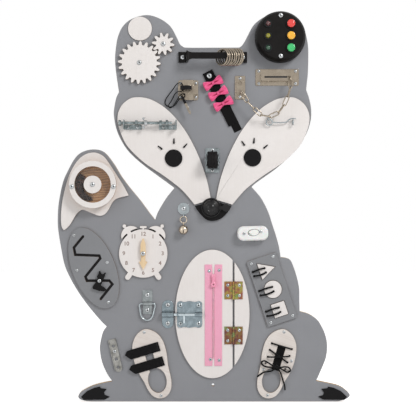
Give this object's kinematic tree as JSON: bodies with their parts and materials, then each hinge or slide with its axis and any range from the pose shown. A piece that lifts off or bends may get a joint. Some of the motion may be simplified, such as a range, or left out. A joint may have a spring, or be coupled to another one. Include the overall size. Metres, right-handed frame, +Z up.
{
  "type": "wooden busy board",
  "caption": "Wall-hung wooden busy board in the outline of a sitting animal, with gears, locks, a belly door, shoes, bows, bells and other toddler activities fixed on its front.",
  "frame": {"origin": "centre of the lower wall-fixing hole, on the flat back face of the board", "axes": "+X to the right seen from the front, +Z up, the front of the board faces -Y"},
  "size_m": [0.5605, 0.0549, 0.7463],
  "materials": {
    "grey_painted_plywood": "satin grey acrylic paint over birch plywood, bare ply at the cut edge",
    "white_painted_plywood": "satin white paint over plywood with faint grain",
    "black_painted_plywood": "satin black paint",
    "pale_grey_painted_plywood": "satin pale grey paint",
    "natural_birch_plywood": "sealed birch plywood",
    "oiled_walnut": "oiled dark-stained wood with a bare rim",
    "dark_seed_wood": "loose dried seeds",
    "zinc_screw": "bright zinc plate",
    "zinc_threaded_steel": "zinc plate",
    "zinc_eye_steel": "bright zinc plate",
    "zinc_caster_steel": "pressed zinc-plated steel",
    "zinc_lashing_steel": "zinc plate",
    "zinc_bolt_steel": "zinc plate",
    "zinc_channel_steel": "galvanised steel",
    "yellow_zinc_hinge_steel": "iridescent yellow zinc plate",
    "nickel_lock_zinc": "nickel plate",
    "nickel_chain_steel": "nickel plate",
    "nickel_ring_steel": "nickel plate",
    "nickel_key_brass": "nickel-plated brass with a black moulded head",
    "black_handle_enamel": "semi-gloss black enamel",
    "black_case_plastic": "gloss black",
    "black_bell_plastic": "gloss black",
    "led_lens_plastic": "coloured translucent lenses with black bezels",
    "red_button_plastic": "gloss red",
    "yellow_button_plastic": "gloss yellow",
    "green_button_plastic": "gloss green",
    "white_switch_plastic": "gloss white",
    "black_caster_rubber": "moulded",
    "clear_window_acrylic": "clear",
    "black_webbing": "woven polypropylene",
    "pink_bow_satin": "satin ribbon",
    "pink_zip_fabric": "woven tape with moulded teeth",
    "pink_zip_enamel": "gloss enamel",
    "black_strap_felt": "woven hook-and-loop tape",
    "black_lace_cord": "braided",
    "black_key_cord": "braided"
  },
  "bodies": {
    "board": {"board_panel": "grey_painted_plywood", "white_overlays": "white_painted_plywood", "black_overlays": "black_painted_plywood", "screws": "zinc_screw", "pull_handle": "black_handle_enamel", "light_case": "black_case_plastic", "lamp_board": "led_lens_plastic", "lock_plate": "nickel_lock_zinc", "webbing": "black_webbing", "chain_plates": "nickel_chain_steel", "threaded_rod": "zinc_threaded_steel", "screw_eyes": "zinc_eye_steel", "caster_bracket": "zinc_caster_steel", "bell_housing": "black_bell_plastic", "maze_plate": "pale_grey_painted_plywood", "clock_plate": "white_painted_plywood", "lashing_plate": "zinc_lashing_steel", "hinge_fixed_leaves": "yellow_zinc_hinge_steel", "bolt_keeper": "zinc_bolt_steel", "switch_body": "white_switch_plastic", "shape_plate": "pale_grey_painted_plywood", "shoe_plates": "white_painted_plywood", "shoe_lace": "black_lace_cord", "key_cord": "black_key_cord", "spare_key": "nickel_key_brass"},
    "gear_large": {"gear_large": "white_painted_plywood"},
    "gear_small": {"gear_small": "white_painted_plywood"},
    "handle_rings": {"handle_rings": "nickel_ring_steel"},
    "button_red": {"button_red": "red_button_plastic"},
    "button_yellow": {"button_yellow": "yellow_button_plastic"},
    "button_green": {"button_green": "green_button_plastic"},
    "lock_core": {"lock_core": "nickel_lock_zinc"},
    "bow_3": {"bow_3": "pink_bow_satin"},
    "bow_2": {"bow_2": "pink_bow_satin"},
    "bow_1": {"bow_1": "pink_bow_satin"},
    "door_chain": {"door_chain": "nickel_chain_steel"},
    "wing_nut": {"wing_nut": "zinc_threaded_steel"},
    "gate_hook": {"gate_hook": "zinc_eye_steel"},
    "caster_wheel": {"caster_wheel": "black_caster_rubber"},
    "bell_lever": {"bell_lever": "black_bell_plastic"},
    "spinner": {"spinner_case": "oiled_walnut", "spinner_window": "clear_window_acrylic", "spinner_seeds": "dark_seed_wood"},
    "maze_cat": {"maze_cat": "black_painted_plywood"},
    "minute_hand": {"minute_hand": "natural_birch_plywood"},
    "hour_hand": {"hour_hand": "natural_birch_plywood"},
    "jingle_bell": {"jingle_bell": "nickel_ring_steel"},
    "d_ring": {"d_ring": "zinc_lashing_steel"},
    "door": {"door_panel": "white_painted_plywood", "door_fittings": "zinc_bolt_steel", "zip_tape": "pink_zip_fabric"},
    "bolt": {"bolt_rod": "zinc_bolt_steel"},
    "zip_slider": {"zip_slider": "pink_zip_enamel"},
    "switch_rocker": {"switch_rocker": "white_switch_plastic"},
    "shape_triangle": {"shape_triangle": "white_painted_plywood"},
    "shape_circle": {"shape_circle": "white_painted_plywood"},
    "shape_square": {"shape_square": "white_painted_plywood"},
    "shoe_strap_upper": {"shoe_strap_upper": "black_strap_felt"},
    "shoe_strap_lower": {"shoe_strap_lower": "black_strap_felt"},
    "steel_bar": {"steel_bar": "zinc_channel_steel"}
  },
  "joints": [
    {"name": "gear_large_spin", "type": "hinge", "parent": "board", "child": "gear_large", "pos_m": [-0.141, -0.0154, 0.6178], "axis": [0, -1, 0], "continuous": true},
    {"name": "gear_small_spin", "type": "hinge", "parent": "board", "child": "gear_small", "pos_m": [-0.0953, -0.0154, 0.65351], "axis": [0, -1, 0], "continuous": true},
    {"name": "rings_slide", "type": "slide", "parent": "board", "child": "handle_rings", "axis": [1, 0, 0], "range_m": [-0.04, 0]},
    {"name": "button_red_press", "type": "slide", "parent": "board", "child": "button_red", "axis": [0, 1, 0], "range_m": [0, 0.0025], "stiffness_N_per_m": 300},
    {"name": "button_yellow_press", "type": "slide", "parent": "board", "child": "button_yellow", "axis": [0, 1, 0], "range_m": [0, 0.0025], "stiffness_N_per_m": 300},
    {"name": "button_green_press", "type": "slide", "parent": "board", "child": "button_green", "axis": [0, 1, 0], "range_m": [0, 0.0025], "stiffness_N_per_m": 300},
    {"name": "lock_turn", "type": "hinge", "parent": "board", "child": "lock_core", "pos_m": [-0.0512, -0.024, 0.5672], "axis": [0, -1, 0], "range_deg": [-90, 0], "deforming": ["key_cord"]},
    {"name": "bow_3_slide", "type": "slide", "parent": "board", "child": "bow_3", "axis": [0.4462, 0, -0.8949], "range_m": [0, 0.033]},
    {"name": "bow_2_slide", "type": "slide", "parent": "board", "child": "bow_2", "axis": [0.4462, 0, -0.8949], "range_m": [0, 0.022]},
    {"name": "bow_1_slide", "type": "slide", "parent": "board", "child": "bow_1", "axis": [0.4462, 0, -0.8949], "range_m": [0, 0.011]},
    {"name": "chain_swing", "type": "hinge", "parent": "board", "child": "door_chain", "pos_m": [0.0553, -0.034, 0.5563], "axis": [-0.9619, 0, -0.2733], "range_deg": [0, 35]},
    {"name": "wing_nut_spin", "type": "hinge", "parent": "board", "child": "wing_nut", "pos_m": [-0.128, -0.028, 0.5014], "axis": [1, 0, 0], "continuous": true},
    {"name": "gate_hook_swing", "type": "hinge", "parent": "board", "child": "gate_hook", "pos_m": [0.1074, -0.022, 0.5034], "axis": [0, -1, 0], "range_deg": [0, 60]},
    {"name": "caster_spin", "type": "hinge", "parent": "board", "child": "caster_wheel", "pos_m": [-0.0012, -0.0323, 0.4307], "axis": [1, 0, 0], "continuous": true},
    {"name": "bell_lever_flick", "type": "hinge", "parent": "board", "child": "bell_lever", "pos_m": [-0.0036, -0.0217, 0.3399], "axis": [0, -1, 0], "range_deg": [-25, 0], "stiffness_Nm_per_rad": 0.02},
    {"name": "spinner_spin", "type": "hinge", "parent": "board", "child": "spinner", "pos_m": [-0.2286, -0.026, 0.3841], "axis": [0, -1, 0], "continuous": true},
    {"name": "cat_slide", "type": "slide", "parent": "board", "child": "maze_cat", "axis": [1, 0, 0], "range_m": [-0.018, 0.013]},
    {"name": "minute_hand_turn", "type": "hinge", "parent": "board", "child": "minute_hand", "pos_m": [-0.1336, -0.018, 0.2524], "axis": [0, -1, 0], "continuous": true},
    {"name": "hour_hand_turn", "type": "hinge", "parent": "board", "child": "hour_hand", "pos_m": [-0.1336, -0.021, 0.2524], "axis": [0, -1, 0], "continuous": true},
    {"name": "jingle_swing", "type": "hinge", "parent": "board", "child": "jingle_bell", "pos_m": [-0.0564, -0.022, 0.3234], "axis": [0, -1, 0], "range_deg": [-30, 30]},
    {"name": "d_ring_flip", "type": "hinge", "parent": "board", "child": "d_ring", "pos_m": [-0.1258, -0.01575, 0.1563], "axis": [-1, 0, 0], "range_deg": [0, 160]},
    {"name": "door_swing", "type": "hinge", "parent": "board", "child": "door", "pos_m": [0.0393, -0.0187, 0.1366], "axis": [0, 0, 1], "range_deg": [0, 110]},
    {"name": "bolt_slide", "type": "slide", "parent": "door", "child": "bolt", "axis": [1, 0, 0], "range_m": [-0.009, 0.017]},
    {"name": "zip_slide", "type": "slide", "parent": "door", "child": "zip_slider", "axis": [0, 0, 1], "range_m": [-0.136, 0]},
    {"name": "switch_rock", "type": "hinge", "parent": "board", "child": "switch_rocker", "pos_m": [0.0774, -0.025, 0.2927], "axis": [0, 0, 1], "range_deg": [-14, 0]},
    {"name": "shape_triangle_lift", "type": "slide", "parent": "board", "child": "shape_triangle", "axis": [0, -1, 0], "range_m": [0, 0.012]},
    {"name": "shape_circle_lift", "type": "slide", "parent": "board", "child": "shape_circle", "axis": [0, -1, 0], "range_m": [0, 0.012]},
    {"name": "shape_square_lift", "type": "slide", "parent": "board", "child": "shape_square", "axis": [0, -1, 0], "range_m": [0, 0.012]},
    {"name": "strap_upper_open", "type": "hinge", "parent": "board", "child": "shoe_strap_upper", "pos_m": [-0.103, -0.0173, 0.0749], "axis": [-0.2874, 0, 0.9578], "range_deg": [0, 100]},
    {"name": "strap_lower_open", "type": "hinge", "parent": "board", "child": "shoe_strap_lower", "pos_m": [-0.0946, -0.0173, 0.0472], "axis": [-0.2874, 0, 0.9578], "range_deg": [0, 100]},
    {"name": "channel_turn", "type": "hinge", "parent": "board", "child": "steel_bar", "pos_m": [-0.1887, -0.014, 0.0644], "axis": [0, 1, 0], "range_deg": [-40, 170]}
  ],
  "couplings": [
    {"joint": "gear_small_spin", "follows": "gear_large_spin", "ratio": -2},
    {"joint": "bow_2_slide", "follows": "bow_3_slide", "ratio": 0.6666},
    {"joint": "bow_1_slide", "follows": "bow_3_slide", "ratio": 0.3333}
  ]
}
